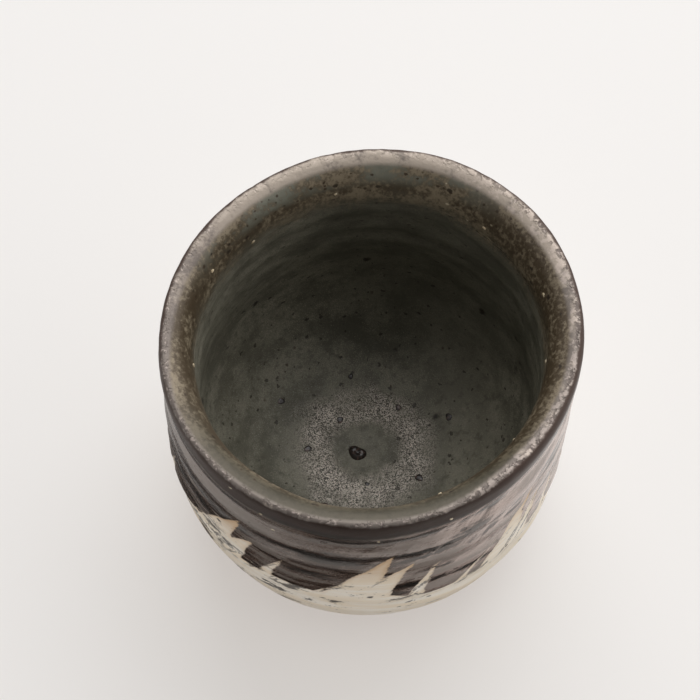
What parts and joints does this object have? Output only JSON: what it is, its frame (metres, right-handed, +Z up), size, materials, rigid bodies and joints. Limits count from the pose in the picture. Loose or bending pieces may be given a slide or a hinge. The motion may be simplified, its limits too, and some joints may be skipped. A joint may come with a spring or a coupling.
{
  "type": "yunomi teacup",
  "caption": "Wheel-thrown stoneware yunomi on a foot ring: grey-green glaze inside, dark iron glaze outside and over the lip, cream slip licks round the lower wall. Holds hot tea.",
  "frame": {"origin": "middle of the foot ring's resting face", "axes": "+Z up along the cup's own axis, +X to the right and -Y towards the viewer in the picture"},
  "size_m": [0.0805, 0.0804, 0.07],
  "materials": {
    "stoneware": "bare fired clay, dry and a little gritty",
    "slip": "cream slip under thin clear glaze, satin",
    "iron_glaze": "dark iron-brown glaze, glossy, streaked and pitted",
    "liner_glaze": "grey-green glaze with iron specks, satin",
    "iron_melt": "melted iron, glossy",
    "feldspar": "melted feldspar grains, glossy"
  },
  "bodies": {
    "root": {"thrown_body": "stoneware", "foot_ring": "stoneware", "white_slip": "slip", "slip_licks": "slip", "iron_glaze": "iron_glaze", "liner_glaze": "liner_glaze", "iron_melts": "iron_melt", "feldspar_grains": "feldspar"}
  },
  "joints": []
}
